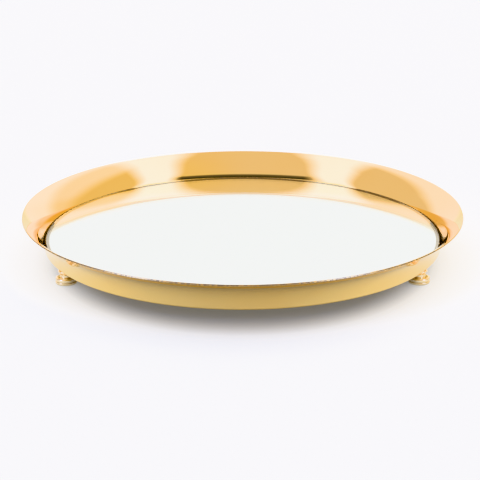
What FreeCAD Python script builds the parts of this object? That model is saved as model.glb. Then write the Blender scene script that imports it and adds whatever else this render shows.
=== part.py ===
import FreeCAD, Part
import math
import os
import Sketcher
from FreeCAD import Placement, Rotation, Vector

# Round vanity tray: a dish of flared sheet brass on three turned feet, with a mirror bonded to
# its floor on foam tape. Each foot is held by a countersunk screw from inside the dish, under
# the mirror, and stands on a soft pad.
#
# Frame: millimetres, +Z up, origin on the surface the tray stands on, under the dish's axis.
# The back foot is on +Y and each front foot is a little under 120 degrees round from it.

SHEET = "Dims"

# alias, value, meaning. Levels with "level" in the name are heights above the standing surface;
# the feet, screws and pads are drawn in frames of their own and then placed.
DIMENSIONS = [
    ("base_level", 8.9, "underside of the dish"),
    ("sheet_gauge", 1.0, "thickness of the dish's sheet metal"),
    ("corner_radius", 1.5, "outside of the bend between base and wall"),
    ("flare_radius", 30.0, "outside of the wall's flare, seen in section"),
    ("flare_centre_radius", 165.0, "distance from the dish's axis to the flare's centre"),
    ("flare_centre_drop", 5.0, "flare's centre below the underside of the dish"),
    ("rim_radius", 150.0, "outer edge of the rim"),
    ("rim_rounding", 0.15, "rounding of the rim's two edges"),
    ("foot_circle", 130.9, "distance from the dish's axis to each foot's axis"),
    ("hole_diameter", 3.4, "clearance hole for the screw"),
    ("countersink_diameter", 5.74, "countersink in the dish's floor"),
    ("countersink_angle", 90.0, "full angle of the countersink, in degrees"),
    ("tape_gauge", 0.8, "foam tape, pressed"),
    ("tape_length", 60.0, "foam tape strip"),
    ("tape_width", 25.0, "foam tape strip"),
    ("tape_circle", 82.0, "distance from the dish's axis to each strip's middle"),
    ("silvering_gauge", 0.1, "reflecting coat and paint"),
    ("silvering_radius", 133.9, "reflecting coat and paint"),
    ("glass_gauge", 3.0, "mirror glass"),
    ("glass_radius", 134.6, "mirror glass"),
    ("glass_arris", 0.4, "ground edge of the glass"),
    ("foot_height", 8.6, "foot, from its underside to the dish"),
    ("foot_recess_radius", 5.2, "recess for the pad"),
    ("foot_recess_depth", 0.7, "recess for the pad"),
    ("foot_base_radius", 7.05, "base disc"),
    ("foot_base_height", 1.6, "top of the base disc"),
    ("foot_base_rounding", 0.45, "edges of the base disc"),
    ("foot_groove_radius", 6.55, "bottom of the groove above the base disc"),
    ("foot_groove_height", 1.9, "top of the groove"),
    ("foot_dome_radius", 6.95, "side of the dome"),
    ("foot_dome_height", 4.05, "edge of the dome's top, before rounding"),
    ("foot_dome_rounding", 1.45, "shoulder of the dome"),
    ("foot_neck_radius", 3.7, "neck"),
    ("foot_neck_height", 4.5, "bottom of the neck"),
    ("foot_cone_height", 5.95, "top of the neck, where the cone starts"),
    ("foot_neck_rounding", 0.4, "corners above and below the neck"),
    ("foot_flange_radius", 5.05, "top flange"),
    ("foot_flange_height", 7.75, "underside of the top flange"),
    ("foot_flange_edge", 8.15, "top of the flange's straight edge"),
    ("foot_top_radius", 4.6, "face that meets the dish"),
    ("foot_mouth_radius", 1.87, "mouth of the screw's hole"),
    ("foot_mouth_height", 8.23, "bottom of the hole's tapered mouth"),
    ("foot_hole_radius", 1.5, "screw's hole"),
    ("foot_hole_height", 2.6, "bottom of the screw's hole"),
    ("screw_length", 6.0, "screw, over its head"),
    ("screw_radius", 1.45, "shank"),
    ("screw_tip_radius", 1.1, "end of the shank"),
    ("screw_tip_height", 0.35, "chamfer at the end of the shank"),
    ("screw_head_radius", 2.75, "countersunk head"),
    ("screw_neck_height", 4.6, "bottom of the head's cone"),
    ("screw_lip_height", 5.9, "bottom of the head's straight edge"),
    ("socket_radius", 1.155, "hexagon socket, across its corners"),
    ("socket_depth", 1.1, "hexagon socket"),
    ("pad_radius", 5.0, "foot pad"),
    ("pad_gauge", 1.0, "foot pad"),
    ("pad_rounding", 0.2, "lower edge of the pad"),
]

FOOT_DIRECTIONS = {"back": 90.0, "front_left": 208.7, "front_right": 331.3}
TAPE_DIRECTIONS = {"right": 0.0, "back": 90.0, "left": 180.0, "front": 270.0}


def make_dimension_sheet(doc):
    """Write every driving dimension to the spreadsheet, one row each."""
    sheet = doc.addObject("Spreadsheet::Sheet", SHEET)
    for row, (alias, value, meaning) in enumerate(DIMENSIONS, start=1):
        sheet.set("A%d" % row, meaning)
        sheet.set("B%d" % row, str(value))
        sheet.setAlias("B%d" % row, alias)
    doc.recompute()
    return sheet


def cell(alias):
    """Name of a spreadsheet cell, as an expression writes it."""
    return SHEET + "." + alias


def make_body(doc, label):
    """Add an empty body with its label."""
    body = doc.addObject("PartDesign::Body", label)
    body.Label = label
    return body


def make_sketch(body, role, name):
    """Attach a sketch to one of the body's own origin planes."""
    plane = next(item for item in body.Origin.OriginFeatures if item.Role == role)
    sketch = body.newObject("Sketcher::SketchObject", name)
    sketch.AttachmentSupport = [(plane, "")]
    sketch.MapMode = "FlatFace"
    return sketch


def bind(sketch, constraint, expression):
    """Add a constraint and tie its value to an expression."""
    index = sketch.addConstraint(constraint)
    sketch.setExpression("Constraints[%d]" % index, expression)


def bind_point(sketch, line, end, radius_name, height_name):
    """Fix one end of a line by two cells; None puts it on the axis or on the base line."""
    if radius_name is None:
        sketch.addConstraint(Sketcher.Constraint("PointOnObject", line, end, -2))
    else:
        radius = Sketcher.Constraint("DistanceX", -1, 1, line, end, 1.0)
        bind(sketch, radius, cell(radius_name))
    if height_name is None:
        sketch.addConstraint(Sketcher.Constraint("PointOnObject", line, end, -1))
    else:
        height = Sketcher.Constraint("DistanceY", -1, 1, line, end, 1.0)
        bind(sketch, height, cell(height_name))


def draw_profile(sketch, sheet, corners):
    """Draw a closed outline through corners that are named by their cells."""
    points = []
    for radius_name, height_name in corners:
        radius = sheet.get(radius_name) if radius_name else 0.0
        height = sheet.get(height_name) if height_name else 0.0
        points.append(Vector(radius, height, 0))
    count = len(points)
    for i in range(count):
        sketch.addGeometry(Part.LineSegment(points[i], points[(i + 1) % count]), False)
    for i in range(count):
        sketch.addConstraint(Sketcher.Constraint("Coincident", i, 2, (i + 1) % count, 1))
    for i, (radius_name, height_name) in enumerate(corners):
        bind_point(sketch, i, 1, radius_name, height_name)


def revolve(body, sketch, name):
    """Turn a sketch about the body's Z axis."""
    feature = body.newObject("PartDesign::Revolution", name)
    feature.Profile = sketch
    feature.ReferenceAxis = (sketch, ["V_Axis"])
    feature.Angle = 360
    sketch.Visibility = False
    return feature


def pad(body, sketch, name, height_name):
    """Extrude a sketch upwards by a cell's value."""
    feature = body.newObject("PartDesign::Pad", name)
    feature.Profile = sketch
    feature.setExpression("Length", cell(height_name))
    return feature


def round_edges(doc, body, name, circles, size_name, kind="Fillet"):
    """Fillet or chamfer the circular edges that have the given radii and heights."""
    doc.recompute()
    base = body.Tip
    edges = []
    for radius, height in circles:
        for number, edge in enumerate(base.Shape.Edges, start=1):
            circle = edge.Curve
            if not isinstance(circle, Part.Circle):
                continue
            on_axis = math.hypot(circle.Center.x, circle.Center.y) < 1e-3
            level_gap = abs(circle.Center.z - height)
            if on_axis and level_gap < 1e-3 and abs(circle.Radius - radius) < 1e-3:
                edges.append("Edge%d" % number)
    if len(edges) != len(circles):
        raise ValueError("%s: %d edges found for %d circles" % (name, len(edges), len(circles)))
    feature = body.newObject("PartDesign::" + kind, name)
    feature.Base = (base, edges)
    feature.setExpression("Radius" if kind == "Fillet" else "Size", cell(size_name))


def place_on_circle(item, circle_name, direction, level):
    """Place a piece at a distance from the dish's axis, turned to face along its direction."""
    item.Placement = Placement(Vector(), Rotation(Vector(0, 0, 1), direction))
    item.setExpression("Placement.Base.x", "%s * cos(%g deg)" % (cell(circle_name), direction))
    item.setExpression("Placement.Base.y", "%s * sin(%g deg)" % (cell(circle_name), direction))
    item.setExpression("Placement.Base.z", level)


def flare_point(sheet, radius, extra):
    """Point of the flare's section at a distance from the dish's axis; extra widens the flare."""
    centre = flare_centre(sheet)
    reach = sheet.get("flare_radius") + extra
    rise = math.sqrt(reach ** 2 - (centre.x - radius) ** 2)
    return Vector(radius, centre.y + rise, 0)


def flare_centre(sheet):
    """Centre of the flare's arcs in the dish's section."""
    level = sheet.get("base_level") - sheet.get("flare_centre_drop")
    return Vector(sheet.get("flare_centre_radius"), level, 0)


def corner_centre(sheet):
    """Centre of the bend that is tangent to both the base and the flare."""
    flare = flare_centre(sheet)
    corner = sheet.get("corner_radius")
    level = sheet.get("base_level") + corner
    reach = corner + sheet.get("flare_radius")
    return Vector(flare.x - math.sqrt(reach ** 2 - (level - flare.y) ** 2), level, 0)


def draw_dish_section(sketch, sheet):
    """Draw the section of the dish: base, bend and flare, outside and inside."""
    gauge = sheet.get("sheet_gauge")
    corner = sheet.get("corner_radius")
    flare = sheet.get("flare_radius")
    base = sheet.get("base_level")
    bend = corner_centre(sheet)
    centre = flare_centre(sheet)
    up = Vector(0, 0, 1)
    lean = math.atan2(bend.y - centre.y, centre.x - bend.x)
    rim_out = flare_point(sheet, sheet.get("rim_radius"), 0.0)
    rim_in = centre + (rim_out - centre) * ((flare + gauge) / flare)
    rim_turn = math.atan2(rim_out.y - centre.y, rim_out.x - centre.x)

    base_out, bend_out, flare_out, rim, flare_in, bend_in, base_in, axis = range(8)
    sketch.addGeometry([
        Part.LineSegment(Vector(0, base, 0), Vector(bend.x, base, 0)),
        Part.ArcOfCircle(Part.Circle(bend, up, corner), -math.pi / 2, -lean),
        Part.ArcOfCircle(Part.Circle(centre, up, flare), rim_turn, math.pi - lean),
        Part.LineSegment(rim_out, rim_in),
        Part.ArcOfCircle(Part.Circle(centre, up, flare + gauge), rim_turn, math.pi - lean),
        Part.ArcOfCircle(Part.Circle(bend, up, corner - gauge), -math.pi / 2, -lean),
        Part.LineSegment(Vector(bend.x, base + gauge, 0), Vector(0, base + gauge, 0)),
        Part.LineSegment(Vector(0, base + gauge, 0), Vector(0, base, 0)),
    ], False)

    start, end, middle = 1, 2, 3
    sketch.addConstraint([
        Sketcher.Constraint("Horizontal", base_out),
        Sketcher.Constraint("Horizontal", base_in),
        Sketcher.Constraint("PointOnObject", base_out, start, -2),
        Sketcher.Constraint("PointOnObject", base_in, end, -2),
        Sketcher.Constraint("Coincident", base_in, end, axis, start),
        Sketcher.Constraint("Coincident", axis, end, base_out, start),
        Sketcher.Constraint("Tangent", base_out, end, bend_out, start),
        Sketcher.Constraint("Tangent", bend_out, end, flare_out, end),
        Sketcher.Constraint("Coincident", flare_out, start, rim, start),
        Sketcher.Constraint("Coincident", rim, end, flare_in, start),
        Sketcher.Constraint("PointOnObject", flare_out, middle, rim),
        Sketcher.Constraint("Coincident", flare_in, middle, flare_out, middle),
        Sketcher.Constraint("Tangent", flare_in, end, bend_in, end),
        Sketcher.Constraint("Tangent", bend_in, start, base_in, start),
    ])
    sizes = [
        (Sketcher.Constraint("DistanceY", -1, 1, base_out, start, base), cell("base_level")),
        (Sketcher.Constraint("DistanceY", -1, 1, base_in, end, base + gauge),
         cell("base_level") + " + " + cell("sheet_gauge")),
        (Sketcher.Constraint("Radius", bend_out, corner), cell("corner_radius")),
        (Sketcher.Constraint("Radius", bend_in, corner - gauge),
         cell("corner_radius") + " - " + cell("sheet_gauge")),
        (Sketcher.Constraint("Radius", flare_out, flare), cell("flare_radius")),
        (Sketcher.Constraint("Radius", flare_in, flare + gauge),
         cell("flare_radius") + " + " + cell("sheet_gauge")),
        (Sketcher.Constraint("DistanceX", -1, 1, flare_out, middle, centre.x),
         cell("flare_centre_radius")),
        (Sketcher.Constraint("DistanceY", -1, 1, flare_out, middle, centre.y),
         cell("base_level") + " - " + cell("flare_centre_drop")),
        (Sketcher.Constraint("DistanceX", -1, 1, rim, start, rim_out.x), cell("rim_radius")),
    ]
    for constraint, expression in sizes:
        bind(sketch, constraint, expression)


def draw_screw_spot(sketch, sheet, index, direction):
    """Circle of one screw hole, held on the foot circle by its two distances from the axis."""
    reach = sheet.get("foot_circle")
    size = sheet.get("hole_diameter")
    turn = math.radians(direction)
    centre = Vector(reach * math.cos(turn), reach * math.sin(turn), 0)
    sketch.addGeometry(Part.Circle(centre, Vector(0, 0, 1), size / 2), False)
    bind(sketch, Sketcher.Constraint("DistanceX", -1, 1, index, 3, centre.x),
         "%s * cos(%g deg)" % (cell("foot_circle"), direction))
    bind(sketch, Sketcher.Constraint("DistanceY", -1, 1, index, 3, centre.y),
         "%s * sin(%g deg)" % (cell("foot_circle"), direction))
    bind(sketch, Sketcher.Constraint("Diameter", index, size), cell("hole_diameter"))


def make_dish(doc, sheet):
    """Sheet dish with a flat base, a trumpet-flared wall and three countersunk holes."""
    body = make_body(doc, "tray_dish")
    section = make_sketch(body, "XZ_Plane", "DishSection")
    draw_dish_section(section, sheet)
    revolve(body, section, "DishSpin")

    rim_out = flare_point(sheet, sheet.get("rim_radius"), 0.0)
    centre = flare_centre(sheet)
    stretch = 1.0 + sheet.get("sheet_gauge") / sheet.get("flare_radius")
    rim_in = centre + (rim_out - centre) * stretch
    rim_circles = [(rim_out.x, rim_out.y), (rim_in.x, rim_in.y)]
    round_edges(doc, body, "RimRounding", rim_circles, "rim_rounding")

    spot = make_sketch(body, "XY_Plane", "ScrewSpot")
    floor_level = cell("base_level") + " + " + cell("sheet_gauge")
    spot.setExpression("AttachmentOffset.Base.z", floor_level)
    for index, direction in enumerate(FOOT_DIRECTIONS.values()):
        draw_screw_spot(spot, sheet, index, direction)
    doc.recompute()

    hole = body.newObject("PartDesign::Hole", "ScrewHoles")
    hole.Profile = spot
    hole.DepthType = "ThroughAll"
    hole.HoleCutType = "Countersink"
    hole.setExpression("Diameter", cell("hole_diameter"))
    hole.setExpression("HoleCutDiameter", cell("countersink_diameter"))
    hole.setExpression("HoleCutCountersinkAngle", cell("countersink_angle"))
    doc.recompute()


def make_disc(doc, label, radius_name, gauge_name, level):
    """Plain round disc on the dish's axis, at a level."""
    body = make_body(doc, label)
    sketch = make_sketch(body, "XY_Plane", label + "_outline")
    sketch.addGeometry(Part.Circle(Vector(), Vector(0, 0, 1), 1.0), False)
    sketch.addConstraint(Sketcher.Constraint("Coincident", 0, 3, -1, 1))
    bind(sketch, Sketcher.Constraint("Radius", 0, 1.0), cell(radius_name))
    pad(body, sketch, label + "_pad", gauge_name)
    body.setExpression("Placement.Base.z", level)
    return body


def make_mirror(doc, sheet):
    """Glass disc with a ground edge, and the reflecting coat under it."""
    coat_level = cell("base_level") + " + " + cell("sheet_gauge") + " + " + cell("tape_gauge")
    make_disc(doc, "mirror_silvering", "silvering_radius", "silvering_gauge", coat_level)
    glass_level = coat_level + " + " + cell("silvering_gauge")
    glass = make_disc(doc, "mirror_glass", "glass_radius", "glass_gauge", glass_level)
    radius = sheet.get("glass_radius")
    edges = [(radius, 0.0), (radius, sheet.get("glass_gauge"))]
    round_edges(doc, glass, "GlassArris", edges, "glass_arris", kind="Chamfer")


def make_tape_strip(doc, side, direction):
    """Strip of foam tape between the dish's floor and the mirror."""
    strip = doc.addObject("Part::Box", "tape_strip_" + side)
    strip.Label = "tape_strip_" + side
    strip.setExpression("Length", cell("tape_width"))
    strip.setExpression("Width", cell("tape_length"))
    strip.setExpression("Height", cell("tape_gauge"))
    turn = math.radians(direction)
    along = "(%s - %s / 2)" % (cell("tape_circle"), cell("tape_width"))
    across = "%s / 2" % cell("tape_length")
    strip.Placement = Placement(Vector(), Rotation(Vector(0, 0, 1), direction))
    x = "%s * %.0f + %s * %.0f" % (along, math.cos(turn), across, math.sin(turn))
    y = "%s * %.0f - %s * %.0f" % (along, math.sin(turn), across, math.cos(turn))
    strip.setExpression("Placement.Base.x", x)
    strip.setExpression("Placement.Base.y", y)
    strip.setExpression("Placement.Base.z", cell("base_level") + " + " + cell("sheet_gauge"))


def make_foot(doc, sheet, side, direction):
    """Turned foot: base disc, groove, dome, neck, cone and top flange, bored for its screw."""
    body = make_body(doc, "foot_" + side)
    sketch = make_sketch(body, "XZ_Plane", "foot_profile_" + side)
    draw_profile(sketch, sheet, [
        (None, "foot_recess_depth"),
        ("foot_recess_radius", "foot_recess_depth"),
        ("foot_recess_radius", None),
        ("foot_base_radius", None),
        ("foot_base_radius", "foot_base_height"),
        ("foot_groove_radius", "foot_base_height"),
        ("foot_groove_radius", "foot_groove_height"),
        ("foot_dome_radius", "foot_groove_height"),
        ("foot_dome_radius", "foot_dome_height"),
        ("foot_neck_radius", "foot_neck_height"),
        ("foot_neck_radius", "foot_cone_height"),
        ("foot_flange_radius", "foot_flange_height"),
        ("foot_flange_radius", "foot_flange_edge"),
        ("foot_top_radius", "foot_height"),
        ("foot_mouth_radius", "foot_height"),
        ("foot_hole_radius", "foot_mouth_height"),
        ("foot_hole_radius", "foot_hole_height"),
        (None, "foot_hole_height"),
    ])
    revolve(body, sketch, "foot_turning_" + side)

    def circle(radius_name, height_name):
        return (sheet.get(radius_name), sheet.get(height_name) if height_name else 0.0)

    shoulder = [circle("foot_dome_radius", "foot_dome_height")]
    round_edges(doc, body, "foot_dome_rounding_" + side, shoulder, "foot_dome_rounding")
    base = [circle("foot_base_radius", None), circle("foot_base_radius", "foot_base_height")]
    round_edges(doc, body, "foot_base_rounding_" + side, base, "foot_base_rounding")
    neck = [circle("foot_neck_radius", "foot_neck_height"),
            circle("foot_neck_radius", "foot_cone_height")]
    round_edges(doc, body, "foot_neck_rounding_" + side, neck, "foot_neck_rounding")
    level = cell("base_level") + " - " + cell("foot_height")
    place_on_circle(body, "foot_circle", direction, level)


def make_screw(doc, sheet, side, direction):
    """Countersunk screw with a hexagon socket, from the dish's floor into a foot."""
    body = make_body(doc, "screw_" + side)
    sketch = make_sketch(body, "XZ_Plane", "screw_profile_" + side)
    draw_profile(sketch, sheet, [
        (None, None),
        ("screw_tip_radius", None),
        ("screw_radius", "screw_tip_height"),
        ("screw_radius", "screw_neck_height"),
        ("screw_head_radius", "screw_lip_height"),
        ("screw_head_radius", "screw_length"),
        (None, "screw_length"),
    ])
    revolve(body, sketch, "screw_turning_" + side)

    socket = make_sketch(body, "XY_Plane", "screw_socket_" + side)
    socket.setExpression("AttachmentOffset.Base.z", cell("screw_length"))
    sides = 6
    reach = sheet.get("socket_radius")
    turn = 2 * math.pi / sides
    corners = [Vector(reach * math.cos(turn * i), reach * math.sin(turn * i), 0)
               for i in range(sides)]
    for i in range(sides):
        socket.addGeometry(Part.LineSegment(corners[i], corners[(i + 1) % sides]), False)
    ring = socket.addGeometry(Part.Circle(Vector(), Vector(0, 0, 1), reach), True)
    socket.addConstraint(Sketcher.Constraint("Coincident", ring, 3, -1, 1))
    bind(socket, Sketcher.Constraint("Radius", ring, reach), cell("socket_radius"))
    for i in range(sides):
        socket.addConstraint(Sketcher.Constraint("Coincident", i, 2, (i + 1) % sides, 1))
        socket.addConstraint(Sketcher.Constraint("PointOnObject", i, 1, ring))
        if i:
            socket.addConstraint(Sketcher.Constraint("Equal", 0, i))
    socket.addConstraint(Sketcher.Constraint("PointOnObject", 0, 1, -1))
    doc.recompute()

    before = body.Shape.Volume
    cut = body.newObject("PartDesign::Pocket", "screw_drive_" + side)
    cut.Profile = socket
    cut.setExpression("Length", cell("socket_depth"))
    doc.recompute()
    if body.Shape.Volume >= before:
        raise ValueError("the socket of screw_%s cuts nothing" % side)
    level = cell("base_level") + " + " + cell("sheet_gauge") + " - " + cell("screw_length")
    place_on_circle(body, "foot_circle", direction, level)


def make_pad(doc, sheet, side, direction):
    """Soft round pad in the recess under a foot."""
    body = make_disc(doc, "pad_" + side, "pad_radius", "pad_gauge", "0")
    edge = [(sheet.get("pad_radius"), 0.0)]
    round_edges(doc, body, "pad_rounding_" + side, edge, "pad_rounding")
    level = "%s - %s + %s - %s" % (cell("base_level"), cell("foot_height"),
                                   cell("foot_recess_depth"), cell("pad_gauge"))
    place_on_circle(body, "foot_circle", direction, level)


def check_document(doc):
    """Stop if any object failed to compute."""
    doc.recompute()
    for item in doc.Objects:
        if "Invalid" in item.State or "Error" in item.State:
            raise ValueError("%s failed: %s" % (item.Name, item.State))


def sub_parts(doc):
    """Objects that are written out, one file each."""
    return [item for item in doc.Objects
            if item.TypeId in ("PartDesign::Body", "Part::Box")]


def write_sub_parts(doc):
    """Check every sub-part's shape, then write each to its own STEP file."""
    pieces = sub_parts(doc)
    for piece in pieces:
        shape = piece.Shape
        if shape.isNull() or not shape.isValid() or len(shape.Solids) != 1:
            raise ValueError("%s has no single valid solid" % piece.Label)
    os.makedirs("parts", exist_ok=True)
    for piece in pieces:
        piece.Shape.exportStep("parts/%s.step" % piece.Label)
        box = piece.Shape.BoundBox
        print("%-20s volume %10.1f  z %6.2f to %6.2f" % (
            piece.Label, piece.Shape.Volume, box.ZMin, box.ZMax))


def main():
    doc = FreeCAD.newDocument("VanityTray")
    sheet = make_dimension_sheet(doc)
    make_dish(doc, sheet)
    make_mirror(doc, sheet)
    for side, direction in TAPE_DIRECTIONS.items():
        make_tape_strip(doc, side, direction)
    for side, direction in FOOT_DIRECTIONS.items():
        make_foot(doc, sheet, side, direction)
        make_screw(doc, sheet, side, direction)
        make_pad(doc, sheet, side, direction)
    check_document(doc)
    write_sub_parts(doc)


main()
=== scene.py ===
import math
import bpy
from mathutils import Matrix, Vector


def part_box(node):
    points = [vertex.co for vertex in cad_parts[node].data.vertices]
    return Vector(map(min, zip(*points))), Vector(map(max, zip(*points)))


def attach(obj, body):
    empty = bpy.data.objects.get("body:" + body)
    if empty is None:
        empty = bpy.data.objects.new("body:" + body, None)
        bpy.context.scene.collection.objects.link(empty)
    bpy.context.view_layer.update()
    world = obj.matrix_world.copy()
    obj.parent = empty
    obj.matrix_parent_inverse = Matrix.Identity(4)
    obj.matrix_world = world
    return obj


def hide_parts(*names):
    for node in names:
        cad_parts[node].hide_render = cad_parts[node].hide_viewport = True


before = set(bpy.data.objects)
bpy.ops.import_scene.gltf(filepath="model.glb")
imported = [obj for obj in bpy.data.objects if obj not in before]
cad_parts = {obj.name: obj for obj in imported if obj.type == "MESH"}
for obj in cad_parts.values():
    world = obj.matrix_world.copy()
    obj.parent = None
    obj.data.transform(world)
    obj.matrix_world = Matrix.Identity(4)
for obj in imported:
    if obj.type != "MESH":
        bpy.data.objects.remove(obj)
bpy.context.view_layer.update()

MM = 0.001
FEET = ("back", "front_left", "front_right")
TAPE_SIDES = ("front", "back", "left", "right")

# The spun dish, as a section of radius and height.
SHEET_GAUGE = 1.0 * MM
CORNER_RADIUS = 1.5 * MM
FLARE_RADIUS = 30.0 * MM
FLARE_CENTRE_RADIUS = 165.0 * MM
FLARE_CENTRE_DROP = 5.0 * MM
RIM_DIRECTION = 120.0
RIM_ROUNDING = 0.15 * MM
SCREW_HOLE_RADIUS = 1.7 * MM
COUNTERSINK_RADIUS = 2.87 * MM
FLOOR_SUPPORT = 0.3 * MM

# The mirror plate.
ARRIS = 0.4 * MM
ARRIS_ROUNDING = 0.12 * MM
FACE_SUPPORT = 3 * ARRIS
SILVER_LIFT = 0.02 * MM

# The turned foot, as radius, height above its own bottom, and rounding, all in millimetres.
FOOT_OUTLINE = [
    (5.20, 0.70, 0.00),
    (5.20, 0.00, 0.12),
    (7.05, 0.00, 0.45),
    (7.05, 1.60, 0.45),
    (6.55, 1.60, 0.06),
    (6.55, 1.90, 0.06),
    (6.95, 1.90, 0.10),
    (6.95, 4.05, 1.40),
    (3.70, 4.50, 0.40),
    (3.70, 5.95, 0.40),
    (5.05, 7.75, 0.12),
    (5.05, 8.15, 0.10),
    (4.60, 8.60, 0.10),
    (1.87, 8.60, 0.06),
    (1.50, 8.23, 0.06),
    (1.50, 2.60, 0.00),
]

# How finely the meshes are cut.
DISH_SEGMENTS = 768
HOLE_SEGMENTS = 64
FOOT_SEGMENTS = 160
FLARE_STEPS = 72
OUTER_CORNER_STEPS = 12
INNER_CORNER_STEPS = 10
LIP_STEPS = 10
ROUNDING_STEP = math.radians(9)
ROUNDING_SUPPORT = 0.03 * MM
SMOOTH_BELOW = math.radians(40.0)
LEVEL_NORMAL = 0.95

RIM_CENTRE = Vector((0.0, 0.0, 0.0304))
CAMERA_DISTANCE = 1.0374
CAMERA_ELEVATION = math.radians(17.519)
CAMERA_TURN = math.radians(0.098)
CAMERA_DIP = math.radians(1.167)
CAMERA_ROLL = math.radians(-0.089)
CAMERA_LENS = 113.61
CAMERA_SENSOR = 36.0

GOLD = (1.0, 0.745, 0.31)
GOLD_DEEP = (1.0, 0.72, 0.28)
FOOT_GOLD = (0.82, 0.70, 0.47)
FOOT_GOLD_DEEP = (0.74, 0.61, 0.38)
CUT_EDGE = (0.24, 0.205, 0.145)
CUT_EDGE_ROUGHNESS = 0.30
SILVER = (0.955, 0.96, 0.955)
# Painted shade: tan colour of a ring in the silver near the mirror's edge.
SILVER_EDGE_SHADE = (0.46, 0.39, 0.28)
PINHOLE = (0.20, 0.18, 0.15)
PINHOLE_ROUGHNESS = 0.3
CUT_DEPTHS = (0.06 * MM, 0.15 * MM)
# Where the painted shade ring near the mirror's edge fades in, as insets from the edge.
EDGE_SHADE_INSETS = (2.8 * MM, 2.1 * MM)
PINHOLE_INSETS = (2.2 * MM, 0.5 * MM)

# The floor glows outside this ring so that it runs out to white; its dim glow near the tray is
# painted shade.
FLOOR_HALF = 6.0
FLOOR_STRETCH = (1.2, 1.0, 1.0)
GLOW_INNER = 0.130
GLOW_OUTER = 0.205
GLOW_LOW = 0.13
GLOW_HIGH = 1.5

# The light tent's colours and radiances. LEFT and RIGHT are its sides as the camera sees them.
STRIP_LIGHT = 4.6
STRIP_TINT = (0.464, 0.539, 0.95)
LEFT_TINT = (0.95, 0.785, 0.70)
RIGHT_TINT = (1.05, 0.82, 0.50)
BACKDROP_TINT = (1.0, 1.0, 1.0)
GLOOM_LOW = (0.048, 0.047, 0.047)
GLOOM_HIGH = (0.155, 0.155, 0.165)
LOW_FRONT_TINT = (0.93, 0.95, 0.97)
UNDERSIDE_TINT = (0.93, 0.94, 0.95)
CEILING_LIGHT = 1.0
BACKDROP_LOW_LIGHT = 1.3
LEFT_WALL_LIGHTS = (0.97, 4.2)
RIGHT_WALL_LIGHT = 0.95
RIGHT_NEAR_LIGHTS = (1.0, 2.0)
RIGHT_FAR_LIGHT = 3.6

# Where the strip lights run over the tent: how far back (0 front horizon, 1 back horizon)
# against how far out to the side (0 middle, 1 horizon).
STRIP_PATH = [
    (0.0, 1.0),
    (0.165, 0.758),
    (0.281, 0.545),
    (0.4165, 0.40),
    (0.5, 0.338),
    (0.6575, 0.213),
    (0.72, 0.13),
    (1.0, -0.6),
]
LEFT_STRIP_SPREAD = 1.06

# Where the parts of the tent fade, as start and end. Heights are the z of a direction, offsets
# and distances are as in STRIP_PATH, and rises go by depth over width.
MIDDLE = (-0.02, 0.02)
TINT_TURN = (-0.08, 0.5)
STRIP_EDGE_OFFSETS = (0.055, 0.15)
STRIP_END_DISTANCES = (0.40, 0.46)
WALL_START_OFFSETS = (0.04, 0.10)
LEFT_WALL_RISE = (1.05, 1.70)
LEFT_WALL_CAP = 0.36
RIGHT_NEAR_RISE = (0.50, 1.0)
RIGHT_NEAR_LEAN = 0.75
RIGHT_NEAR_HEIGHTS = (0.20, 0.42)
RIGHT_FAR_RISE = (0.9, 1.8)
BACKDROP_EDGE = (0.970, 0.986)
BACKDROP_DIMMING_HEIGHTS = (0.35, 0.75)
BACKDROP_TOP_HEIGHTS = (0.5, 0.7)
DARK_BOTTOM_HEIGHTS = (0.322, 0.342)
DARK_TOP_HEIGHTS = (0.44, 0.52)
GLOOM_HEIGHTS = (0.34, 0.45)
LOW_FRONT_TOP_HEIGHTS = (0.25, 0.335)
HORIZON_HEIGHTS = (-0.05, -0.01)

# Angles from straight in front, where the dark camera side and the plain low front fade in.
DARK_EDGES = (math.cos(math.radians(49)), math.cos(math.radians(38)))
LOW_FRONT_EDGES = (math.cos(math.radians(72)), math.cos(math.radians(58)))


# ---------------------------------------------------------------- outlines

def centre_of(node):
    """Middle of a node's box."""
    low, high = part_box(node)
    return (Vector(low) + Vector(high)) / 2


def polar(centre, radius, degrees):
    """Point at a distance and a direction from a centre, in the plane of radius and height."""
    angle = math.radians(degrees)
    return Vector((centre.x + radius * math.cos(angle), centre.y + radius * math.sin(angle)))


def flare_centre():
    """Centre of the wall's flare, outside the dish and below its floor."""
    return Vector((FLARE_CENTRE_RADIUS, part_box("tray_dish")[0][2] - FLARE_CENTRE_DROP))


def arc(centre, radius, start, end, steps):
    """Points along an arc in the plane of radius and height, its angles in degrees."""
    return [polar(centre, radius, start + (end - start) * i / steps) for i in range(steps + 1)]


def rounded(corners):
    """Outline through (radius, height, rounding) corners, each rounded by an arc."""
    places = [Vector(c[:2]) for c in corners]
    outline = [places[0]]
    for before, here, after, corner in zip(places, places[1:], places[2:], corners[1:-1]):
        back = (before - here).normalized()
        ahead = (after - here).normalized()
        half = math.acos(max(-1.0, min(1.0, back.dot(ahead)))) / 2
        cut = corner[2] / math.tan(half)
        centre = here + (back + ahead).normalized() * corner[2] / math.sin(half)
        first = here + back * cut - centre
        last = here + ahead * cut - centre
        sweep = math.pi - 2 * half
        if first.x * last.y < first.y * last.x:
            sweep = -sweep
        steps = max(2, math.ceil(abs(sweep) / ROUNDING_STEP))
        outline.append(here + back * (cut + ROUNDING_SUPPORT))
        for i in range(steps + 1):
            outline.append(centre + Matrix.Rotation(sweep * i / steps, 2) @ first)
        outline.append(here + ahead * (cut + ROUNDING_SUPPORT))
    outline.append(places[-1])
    return outline


def lip_centre(flare, radius):
    """Centre of a rounding at the rim, and its direction from the flare's centre in degrees."""
    direction = RIM_DIRECTION + math.degrees(math.asin(RIM_ROUNDING / radius))
    return polar(flare, radius, direction), direction


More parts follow.
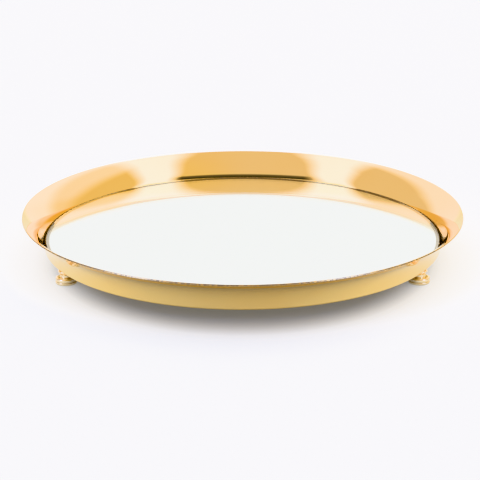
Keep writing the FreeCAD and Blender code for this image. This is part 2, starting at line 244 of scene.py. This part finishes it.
def dish_outline():
    """Section of the dish: floor, tight corner, flared wall and rounded rim, outside first."""
    flare = flare_centre()
    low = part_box("tray_dish")[0][2]
    reach = FLARE_RADIUS + CORNER_RADIUS
    rise = CORNER_RADIUS + FLARE_CENTRE_DROP
    corner = Vector((flare.x - math.sqrt(reach ** 2 - rise ** 2), low + CORNER_RADIUS))
    lean = -math.degrees(math.asin(rise / reach))
    inner_radius = FLARE_RADIUS + SHEET_GAUGE
    outer_lip, outer_end = lip_centre(flare, FLARE_RADIUS + RIM_ROUNDING)
    inner_lip, inner_end = lip_centre(flare, inner_radius - RIM_ROUNDING)
    edge = RIM_DIRECTION - 90.0
    outside = arc(corner, CORNER_RADIUS, -90.0, lean, OUTER_CORNER_STEPS)
    outside += arc(flare, FLARE_RADIUS, 180.0 + lean, outer_end, FLARE_STEPS)[1:]
    rim = arc(outer_lip, RIM_ROUNDING, outer_end - 180.0, edge, LIP_STEPS)[1:]
    rim += arc(inner_lip, RIM_ROUNDING, edge, inner_end, LIP_STEPS)
    inside = arc(flare, inner_radius, inner_end, 180.0 + lean, FLARE_STEPS)[1:]
    inside += arc(corner, CORNER_RADIUS - SHEET_GAUGE, lean, -90.0, INNER_CORNER_STEPS)[1:]
    support = Vector((FLOOR_SUPPORT, 0.0))
    return [outside[0] - support] + outside + rim + inside + [inside[-1] - support]


# ---------------------------------------------------------------- meshes

def stack(name, rings, place):
    """Closed mesh through a stack of rings with as many points each, capped at both ends."""
    count = len(rings[0])
    points = [p for ring in rings for p in ring]
    faces = []
    for level in range(len(rings) - 1):
        for i in range(count):
            a = level * count + i
            b = level * count + (i + 1) % count
            faces.append((a, b, b + count, a + count))
    faces.append(tuple(reversed(range(count))))
    faces.append(tuple(range(len(points) - count, len(points))))
    mesh = bpy.data.meshes.new(name)
    mesh.from_pydata(points, [], faces)
    mesh.validate()
    mesh.polygons.foreach_set("use_smooth", [True] * len(mesh.polygons))
    mesh.set_sharp_from_angle(angle=SMOOTH_BELOW)
    piece = bpy.data.objects.new(name, mesh)
    piece.location = place
    bpy.context.collection.objects.link(piece)
    return piece


def lathe(name, outline, segments, place=(0.0, 0.0, 0.0)):
    """Closed turned piece from an outline of (radius, height) points."""
    turns = [2 * math.pi * i / segments for i in range(segments)]
    rings = [[(p[0] * math.cos(t), p[0] * math.sin(t), p[1]) for t in turns] for p in outline]
    return stack(name, rings, place)


def cut_away(piece, cutters):
    """Take the cutters' shapes out of a piece."""
    for cutter in cutters:
        modifier = piece.modifiers.new(cutter.name, "BOOLEAN")
        modifier.operation = "DIFFERENCE"
        modifier.solver = "EXACT"
        modifier.object = cutter
    bpy.context.view_layer.update()
    solid = piece.evaluated_get(bpy.context.evaluated_depsgraph_get())
    mesh = bpy.data.meshes.new_from_object(solid)
    mesh.set_sharp_from_angle(angle=SMOOTH_BELOW)
    piece.modifiers.clear()
    piece.data = mesh
    for cutter in cutters:
        bpy.data.meshes.remove(cutter.data)


def finish_piece(piece, node, slot, *materials):
    """Stand for a CAD node, ride on the body and take the materials."""
    piece.data.materials.clear()
    for material in materials:
        piece.data.materials.append(material)
    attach(piece, "root")
    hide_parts(node)


def make_dish():
    """Spun dish with its three countersunk holes over the feet."""
    dish = lathe("spun_dish", dish_outline(), DISH_SEGMENTS)
    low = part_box("tray_dish")[0][2]
    top = low + SHEET_GAUGE
    cone = COUNTERSINK_RADIUS - SCREW_HOLE_RADIUS
    over = SHEET_GAUGE
    outline = [
        (SCREW_HOLE_RADIUS, low - over),
        (SCREW_HOLE_RADIUS, top - cone),
        (COUNTERSINK_RADIUS + over, top + over),
    ]
    cutters = []
    for side in FEET:
        middle = centre_of("foot_" + side)
        cutters.append(lathe("hole_" + side, outline, HOLE_SEGMENTS, (middle.x, middle.y, 0.0)))
    cut_away(dish, cutters)
    finish_piece(dish, "tray_dish", "gold_metal", plated_gold())


def make_mirror():
    """Glass plate with painted arrises, its bottom face silvered just above the paint coat."""
    low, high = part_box("mirror_glass")
    radius = high[0]
    bottom = low[2] + SILVER_LIFT
    outline = rounded([
        (radius - FACE_SUPPORT, bottom, 0.0),
        (radius - ARRIS, bottom, ARRIS_ROUNDING),
        (radius, bottom + ARRIS, ARRIS_ROUNDING),
        (radius, high[2] - ARRIS, ARRIS_ROUNDING),
        (radius - ARRIS, high[2], ARRIS_ROUNDING),
        (radius - FACE_SUPPORT, high[2], 0.0),
    ])
    plate = lathe("mirror_plate", outline, DISH_SEGMENTS)
    finish_piece(plate, "mirror_glass", "mirror_glass", clear_glass(), silver_face(), edge_paint())
    glass_index, silver_index, paint_index = range(3)
    for face in plate.data.polygons:
        if face.normal.z < -LEVEL_NORMAL:
            face.material_index = silver_index
        elif face.normal.z < LEVEL_NORMAL:
            face.material_index = paint_index
        else:
            face.material_index = glass_index


def make_foot(side, material):
    """Turned foot, bored for its screw."""
    node = "foot_" + side
    middle = centre_of(node)
    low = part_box(node)[0][2]
    outline = rounded([(r * MM, z * MM, rounding * MM) for r, z, rounding in FOOT_OUTLINE])
    foot = lathe("turned_" + node, outline, FOOT_SEGMENTS, (middle.x, middle.y, low))
    finish_piece(foot, node, "foot_metal", material)


# ---------------------------------------------------------------- shader helper

class Nodes:
    """Small helper that adds and links shader nodes."""

    def __init__(self, tree):
        self.tree = tree

    def add(self, kind, **settings):
        node = self.tree.nodes.new(kind)
        for name, value in settings.items():
            setattr(node, name, value)
        return node

    def feed(self, socket, value):
        """Link a socket to another, or set its value."""
        if isinstance(value, bpy.types.NodeSocket):
            self.tree.links.new(value, socket)
        else:
            socket.default_value = value

    def math(self, operation, a, b=0.0, c=0.0):
        node = self.add("ShaderNodeMath", operation=operation)
        for socket, value in zip(node.inputs, (a, b, c)):
            self.feed(socket, value)
        return node.outputs[0]

    def times(self, a, b):
        return self.math("MULTIPLY", a, b)

    def vector(self, operation, a, b):
        node = self.add("ShaderNodeVectorMath", operation=operation)
        self.feed(node.inputs[0], a)
        self.feed(node.inputs[1], b)
        return node

    def split(self, vector):
        """The x, y and z of a vector."""
        node = self.add("ShaderNodeSeparateXYZ")
        self.feed(node.inputs[0], vector)
        return node.outputs

    def step(self, value, low, high, out_low=0.0, out_high=1.0):
        """Smooth step from out_low to out_high as value goes from low to high."""
        node = self.add("ShaderNodeMapRange", interpolation_type="SMOOTHSTEP")
        self.feed(node.inputs["Value"], value)
        self.feed(node.inputs["From Min"], low)
        self.feed(node.inputs["From Max"], high)
        self.feed(node.inputs["To Min"], out_low)
        self.feed(node.inputs["To Max"], out_high)
        return node.outputs["Result"]

    def fade(self, value, low, high):
        """Smooth step from 1 down to 0 as value goes from low to high."""
        return self.step(value, low, high, 1.0, 0.0)

    def mix(self, factor, a, b):
        """Blend of two numbers."""
        node = self.add("ShaderNodeMix", data_type="FLOAT")
        self.feed(node.inputs["Factor"], factor)
        self.feed(node.inputs[2], a)
        self.feed(node.inputs[3], b)
        return node.outputs[0]

    def blend(self, factor, a, b):
        """Blend of two colours."""
        node = self.add("ShaderNodeMix", data_type="RGBA")
        self.feed(node.inputs["Factor"], factor)
        for socket, value in ((node.inputs[6], a), (node.inputs[7], b)):
            self.feed(socket, value if isinstance(value, bpy.types.NodeSocket) else (*value, 1.0))
        return node.outputs[2]

    def noise(self, vector, scale, detail=2.0, rough=0.5):
        node = self.add("ShaderNodeTexNoise")
        self.feed(node.inputs["Vector"], vector)
        self.feed(node.inputs["Scale"], scale)
        self.feed(node.inputs["Detail"], detail)
        self.feed(node.inputs["Roughness"], rough)
        return node.outputs["Fac"]

    def bump(self, height, distance, under=None):
        """Normal roughened by a height, over another normal where one is given."""
        node = self.add("ShaderNodeBump")
        self.feed(node.inputs["Height"], height)
        self.feed(node.inputs["Distance"], distance)
        self.feed(node.inputs["Strength"], 1.0)
        if under is not None:
            self.feed(node.inputs["Normal"], under)
        return node.outputs[0]

    def turned(self, place):
        """Radius, and a vector of radius and height that draws rings when it feeds a texture."""
        x, y, z = self.split(place)
        radius = self.math("SQRT", self.math("ADD", self.times(x, x), self.times(y, y)))
        join = self.add("ShaderNodeCombineXYZ")
        self.feed(join.inputs[0], radius)
        self.feed(join.inputs[1], z)
        return radius, join.outputs[0]


def new_material(name, metallic=0.0):
    """Empty node material: its Nodes helper, its Principled inputs and its Object coordinates."""
    material = bpy.data.materials.new(name)
    material.use_nodes = True
    n = Nodes(material.node_tree)
    shader = material.node_tree.nodes["Principled BSDF"].inputs
    shader["Metallic"].default_value = metallic
    place = n.add("ShaderNodeTexCoord").outputs["Object"]
    return material, n, shader, place


# ---------------------------------------------------------------- materials

def plated_gold():
    """Polished gold plate: faint spinning lines, hairline scratches, dull cut edge at the rim."""
    material, n, shader, place = new_material("plated_gold", metallic=1.0)
    section = n.turned(place)[1]
    edge = polar(flare_centre(), FLARE_RADIUS + SHEET_GAUGE / 2, RIM_DIRECTION)
    outward = polar(Vector((0.0, 0.0)), 1.0, RIM_DIRECTION - 90.0)
    across = n.vector("DOT_PRODUCT", section, (*outward, 0.0)).outputs["Value"]
    depth = n.math("SUBTRACT", edge.dot(outward), across)
    wear = n.step(n.noise(place, 700.0, detail=4.0), 0.35, 0.6, out_low=0.55)
    cut = n.times(n.fade(depth, *CUT_DEPTHS), wear)
    tone = n.step(n.noise(place, 14.0, detail=3.0), 0.3, 0.7)
    n.feed(shader["Base Color"], n.blend(cut, n.blend(tone, GOLD, GOLD_DEEP), CUT_EDGE))
    haze = n.step(n.noise(place, 35.0, detail=5.0, rough=0.6), 0.35, 0.75, 0.022, 0.06)
    scratch = n.noise(n.vector("MULTIPLY", place, (3.0, 40.0, 3.0)).outputs["Vector"], 260.0)
    polish = n.math("ADD", haze, n.step(scratch, 0.66, 0.72, out_high=0.05))
    n.feed(shader["Roughness"], n.mix(cut, polish, CUT_EDGE_ROUGHNESS))
    lines = n.bump(n.noise(section, 1500.0), 0.00035 * MM)
    waves = n.bump(n.noise(place, 22.0, detail=1.0), 0.012 * MM, under=lines)
    n.feed(shader["Normal"], n.bump(n.noise(place, 2600.0), n.times(cut, 0.02 * MM), under=waves))
    return material


def turned_gold():
    """Gold plate over turned metal: fine turning lines about the foot's own axis."""
    material, n, shader, place = new_material("turned_gold", metallic=1.0)
    section = n.turned(place)[1]
    tone = n.step(n.noise(place, 120.0, detail=3.0), 0.3, 0.7)
    n.feed(shader["Base Color"], n.blend(tone, FOOT_GOLD, FOOT_GOLD_DEEP))
    n.feed(shader["Roughness"], n.step(n.noise(place, 300.0, detail=4.0), 0.3, 0.75, 0.12, 0.22))
    n.feed(shader["Normal"], n.bump(n.noise(section, 5200.0), 0.0005 * MM))
    return material


def clear_glass():
    """Clear glass with a faint green cast, a trace of haze and float waviness."""
    material, n, shader, place = new_material("clear_glass")
    shader["Base Color"].default_value = (0.972, 0.99, 0.98, 1.0)
    shader["Transmission Weight"].default_value = 1.0
    shader["IOR"].default_value = 1.52
    haze = n.noise(place, 60.0, detail=5.0, rough=0.6)
    n.feed(shader["Roughness"], n.step(haze, 0.45, 0.8, out_high=0.02))
    n.feed(shader["Normal"], n.bump(n.noise(place, 9.0, detail=1.0), 0.01 * MM))
    return material


def silver_face():
    """Bright silver seen through the glass, with painted shade in a tan ring near the edge, and
    thinned by pinholes.
    """
    material, n, shader, place = new_material("silver_face", metallic=1.0)
    radius = n.turned(place)[0]
    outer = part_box("mirror_glass")[1][0]
    near = n.step(radius, *(outer - inset for inset in PINHOLE_INSETS))
    faded = n.times(near, n.step(n.noise(place, 900.0, detail=3.0), 0.60, 0.70))
    # Painted shade: a darker tan ring just inside the plate's edge stands in for the shade of the
    # dark edge seen through the glass.
    edge_shaded = n.step(radius, *(outer - inset for inset in EDGE_SHADE_INSETS))
    n.feed(shader["Base Color"], n.blend(faded, n.blend(edge_shaded, SILVER, SILVER_EDGE_SHADE), PINHOLE))
    n.feed(shader["Roughness"], n.mix(faded, 0.0, PINHOLE_ROUGHNESS))
    return material


def edge_paint():
    """Near-black sealing paint on the plate's edge, brushed on a little unevenly."""
    material, n, shader, place = new_material("edge_paint")
    tone = n.step(n.noise(place, 260.0, detail=4.0), 0.35, 0.75)
    n.feed(shader["Base Color"], n.blend(tone, (0.021, 0.0185, 0.0145), (0.062, 0.054, 0.042)))
    n.feed(shader["Roughness"], n.step(n.noise(place, 700.0, detail=3.0), 0.3, 0.7, 0.3, 0.55))
    n.feed(shader["Normal"], n.bump(n.noise(place, 1500.0), 0.02 * MM))
    return material


def coat_paint():
    """Grey-green paint over the back of the silver, rolled on with a slight orange peel."""
    material, n, shader, place = new_material("coat_paint")
    tone = n.step(n.noise(place, 90.0, detail=4.0), 0.3, 0.7)
    n.feed(shader["Base Color"], n.blend(tone, (0.115, 0.150, 0.140), (0.150, 0.185, 0.170)))
    n.feed(shader["Roughness"], n.step(n.noise(place, 400.0, detail=3.0), 0.3, 0.7, 0.42, 0.6))
    n.feed(shader["Normal"], n.bump(n.noise(place, 1200.0), 0.03 * MM))
    return material


def foam():
    """White double-sided foam tape: open cells, a little yellowing."""
    material, n, shader, place = new_material("foam")
    cells = n.add("ShaderNodeTexVoronoi", feature="F1")
    n.feed(cells.inputs["Vector"], place)
    n.feed(cells.inputs["Scale"], 2600.0)
    depth = cells.outputs["Distance"]
    tone = n.step(n.noise(place, 160.0, detail=3.0), 0.35, 0.7)
    n.feed(shader["Base Color"], n.blend(tone, (0.82, 0.81, 0.77), (0.74, 0.71, 0.62)))
    n.feed(shader["Roughness"], n.step(depth, 0.1, 0.7, 0.75, 0.95))
    n.feed(shader["Normal"], n.bump(depth, 0.12 * MM))
    return material


def zinc():
    """Zinc-plated screw steel: cool grey, blotchy passivation, forged and turned marks."""
    material, n, shader, place = new_material("zinc", metallic=1.0)
    blotch = n.step(n.noise(place, 900.0, detail=4.0), 0.3, 0.7)
    n.feed(shader["Base Color"], n.blend(blotch, (0.62, 0.64, 0.66), (0.50, 0.53, 0.55)))
    n.feed(shader["Roughness"], n.step(n.noise(place, 2400.0, detail=3.0), 0.3, 0.7, 0.22, 0.42))
    n.feed(shader["Normal"], n.bump(n.noise(place, 6000.0), 0.006 * MM))
    return material


def rubber():
    """Dark grey rubber pad with a fine moulded grain and scuffed dust."""
    material, n, shader, place = new_material("rubber")
    dust = n.step(n.noise(place, 700.0, detail=5.0, rough=0.6), 0.5, 0.75)
    n.feed(shader["Base Color"], n.blend(dust, (0.030, 0.030, 0.032), (0.075, 0.072, 0.068)))
    n.feed(shader["Roughness"], n.mix(dust, 0.62, 0.85))
    n.feed(shader["Normal"], n.bump(n.noise(place, 4200.0, detail=3.0), 0.05 * MM))
    return material


def pale_paper():
    """Pale studio floor with painted light: it glows away from the tray, dims to painted shade near
    it, and is see-through from below.
    """
    material, n, shader, place = new_material("pale_paper")
    radius = n.turned(n.vector("MULTIPLY", place, FLOOR_STRETCH).outputs["Vector"])[0]
    tone = n.step(n.noise(place, 6.0, detail=3.0), 0.3, 0.7)
    n.feed(shader["Base Color"], n.blend(tone, (0.318, 0.338, 0.338), (0.326, 0.346, 0.346)))
    shader["Roughness"].default_value = 0.9
    shader["Specular IOR Level"].default_value = 0.1
    shader["Emission Color"].default_value = (1.0, 1.0, 1.0, 1.0)
    underneath = n.add("ShaderNodeNewGeometry").outputs["Backfacing"]
    n.feed(shader["Alpha"], n.math("SUBTRACT", 1.0, underneath))
    # Painted light and shade: the glow is dim near the tray and bright further out.
    n.feed(shader["Emission Strength"], n.step(radius, GLOW_INNER, GLOW_OUTER, GLOW_LOW, GLOW_HIGH))
    n.feed(shader["Normal"], n.bump(n.noise(place, 900.0, detail=3.0), 0.02 * MM))
    return material


# ---------------------------------------------------------------- studio

def swing(first, second, angle):
    """Two square axes turned about the third, the first towards the second."""
    cosine = math.cos(angle)
    sine = math.sin(angle)
    return first * cosine + second * sine, second * cosine - first * sine


def add_camera():
    """Camera in front of the tray, looking a little below the rim's middle."""
    data = bpy.data.cameras.new("camera")
    data.sensor_width = CAMERA_SENSOR
    data.lens = CAMERA_LENS
    data.clip_start = 0.01
    camera = bpy.data.objects.new("camera", data)
    bpy.context.collection.objects.link(camera)
    back = Vector((0.0, -math.cos(CAMERA_ELEVATION), math.sin(CAMERA_ELEVATION)))
    right = Vector((1.0, 0.0, 0.0))
    up = Vector((0.0, math.sin(CAMERA_ELEVATION), math.cos(CAMERA_ELEVATION)))
    place = RIM_CENTRE + back * CAMERA_DISTANCE
    back, up = swing(back, up, CAMERA_DIP)
    back, right = swing(back, right, CAMERA_TURN)
    right, up = swing(right, up, CAMERA_ROLL)
    turn = Matrix((right, up, back)).transposed().to_4x4()
    camera.matrix_world = Matrix.Translation(place) @ turn
    bpy.context.scene.camera = camera


def share(n, part, height):
    """How much of a direction is in one part of it, against its height above the horizon."""
    size = n.math("ABSOLUTE", part)
    return n.math("DIVIDE", part, n.math("ADD", size, height))


def strip_offset(n, x, y, z, on_right):
    """How far a direction lies outside the middle of the strip light, and how far back it is."""
    height = n.math("MAXIMUM", z, 0.02)
    far = share(n, y, height)
    side = share(n, n.math("ABSOLUTE", x), height)
    path = n.add("ShaderNodeFloatCurve")
    curve = path.mapping.curves[0]
    path.mapping.use_clip = False
    for point, place in zip(curve.points, (STRIP_PATH[0], STRIP_PATH[-1])):
        point.location = place
    for place in STRIP_PATH[1:-1]:
        curve.points.new(*place)
    path.mapping.update()
    n.feed(path.inputs["Value"], n.math("MULTIPLY_ADD", far, 0.5, 0.5))
    centre = n.times(path.outputs[0], n.mix(on_right, LEFT_STRIP_SPREAD, 1.0))
    return n.math("SUBTRACT", side, centre), far


def wall_light(n, x, y, z, on_right):
    """Radiance of the tent's two side walls, brighter towards the back."""
    slope = n.math("DIVIDE", y, n.math("MAXIMUM", n.math("ABSOLUTE", x), 0.05))
    rising = n.math("ADD", n.math("MINIMUM", z, LEFT_WALL_CAP), slope)
    left_wall = n.step(rising, *LEFT_WALL_RISE, *LEFT_WALL_LIGHTS)
    near_wall = n.step(n.math("MULTIPLY_ADD", z, RIGHT_NEAR_LEAN, slope), *RIGHT_NEAR_RISE)
    near_wall = n.times(near_wall, n.step(z, *RIGHT_NEAR_HEIGHTS, *RIGHT_NEAR_LIGHTS))
    far_wall = n.step(slope, *RIGHT_FAR_RISE, out_high=RIGHT_FAR_LIGHT)
    right_wall = n.math("ADD", n.math("ADD", near_wall, RIGHT_WALL_LIGHT), far_wall)
    return n.mix(on_right, left_wall, right_wall)


def tent_light(n, x, y, z, flat):
    """Radiance of the tent by direction, and how far a direction meets the backdrop and a strip."""
    on_right = n.step(x, *MIDDLE)
    off, far = strip_offset(n, x, y, z, on_right)
    across = n.fade(n.math("ABSOLUTE", off), *STRIP_EDGE_OFFSETS)
    strip = n.times(across, n.fade(far, *STRIP_END_DISTANCES))
    backdrop = n.step(n.math("DIVIDE", y, flat), *BACKDROP_EDGE)
    wall = wall_light(n, x, y, z, on_right)
    behind = n.step(z, *BACKDROP_DIMMING_HEIGHTS, BACKDROP_LOW_LIGHT, CEILING_LIGHT)
    wall = n.mix(backdrop, wall, behind)
    light = n.mix(n.step(off, *WALL_START_OFFSETS), CEILING_LIGHT, wall)
    plain = n.times(backdrop, n.fade(z, *BACKDROP_TOP_HEIGHTS))
    return n.math("MULTIPLY_ADD", strip, STRIP_LIGHT, light), plain, strip


def tent_tint(n, x, backdrop, strip):
    """Colour of the tent: peach on the left, amber on the right, white backdrop, cool strips."""
    tint = n.blend(n.step(x, *TINT_TURN), LEFT_TINT, RIGHT_TINT)
    tint = n.blend(backdrop, tint, BACKDROP_TINT)
    return n.blend(strip, tint, STRIP_TINT)


def make_world():
    """Light tent: even ceiling, two strip lights, bright walls, the dark camera side.

    Low at the front and below the horizon it is plain, so the mirror is bright from behind."""
    world = bpy.data.worlds.new("studio")
    world.use_nodes = True
    bpy.context.scene.world = world
    tree = world.node_tree
    tree.nodes.clear()
    n = Nodes(tree)
    x, y, z = n.split(n.add("ShaderNodeTexCoord").outputs["Generated"])
    flat = n.math("SUBTRACT", 1.0, n.times(z, z))
    flat = n.math("SQRT", n.math("MAXIMUM", flat, 0.0001))
    facing = n.math("DIVIDE", n.times(y, -1.0), flat)
    light, backdrop, strip = tent_light(n, x, y, z, flat)
    tint = tent_tint(n, x, backdrop, strip)
    band = n.times(n.fade(z, *DARK_TOP_HEIGHTS), n.step(z, *DARK_BOTTOM_HEIGHTS))
    dark = n.times(n.step(facing, *DARK_EDGES), band)
    gloom = n.blend(n.step(z, *GLOOM_HEIGHTS), GLOOM_LOW, GLOOM_HIGH)
    tint = n.blend(dark, tint, gloom)
    low_front = n.times(n.step(facing, *LOW_FRONT_EDGES), n.fade(z, *LOW_FRONT_TOP_HEIGHTS))
    tint = n.blend(low_front, tint, LOW_FRONT_TINT)
    light = n.mix(low_front, light, CEILING_LIGHT)
    above = n.step(z, *HORIZON_HEIGHTS)
    tint = n.blend(above, UNDERSIDE_TINT, tint)
    light = n.mix(above, CEILING_LIGHT, light)
    background = n.add("ShaderNodeBackground")
    n.feed(background.inputs["Color"], tint)
    n.feed(background.inputs["Strength"], light)
    output = n.add("ShaderNodeOutputWorld")
    tree.links.new(background.outputs[0], output.inputs["Surface"])


def add_floor():
    """Wide pale floor."""
    half = FLOOR_HALF
    corners = [(-half, -half, 0.0), (half, -half, 0.0), (half, half, 0.0), (-half, half, 0.0)]
    mesh = bpy.data.meshes.new("floor")
    mesh.from_pydata(corners, [], [(0, 1, 2, 3)])
    mesh.materials.append(pale_paper())
    floor = bpy.data.objects.new("floor", mesh)
    bpy.context.collection.objects.link(floor)


def give_material(names, material):
    """Put a material in the slots of carried-over CAD nodes."""
    for name in names:
        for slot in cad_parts[name].material_slots:
            slot.material = material


add_camera()
make_world()
add_floor()
make_dish()
make_mirror()
foot_material = turned_gold()
for side in FEET:
    make_foot(side, foot_material)
give_material(["mirror_silvering"], coat_paint())
give_material(["tape_strip_" + side for side in TAPE_SIDES], foam())
give_material(["screw_" + side for side in FEET], zinc())
give_material(["pad_" + side for side in FEET], rubber())

scene = bpy.context.scene
scene.view_settings.view_transform = "Khronos PBR Neutral"
scene.cycles.max_bounces = 16
scene.cycles.glossy_bounces = 12
scene.cycles.transmission_bounces = 12
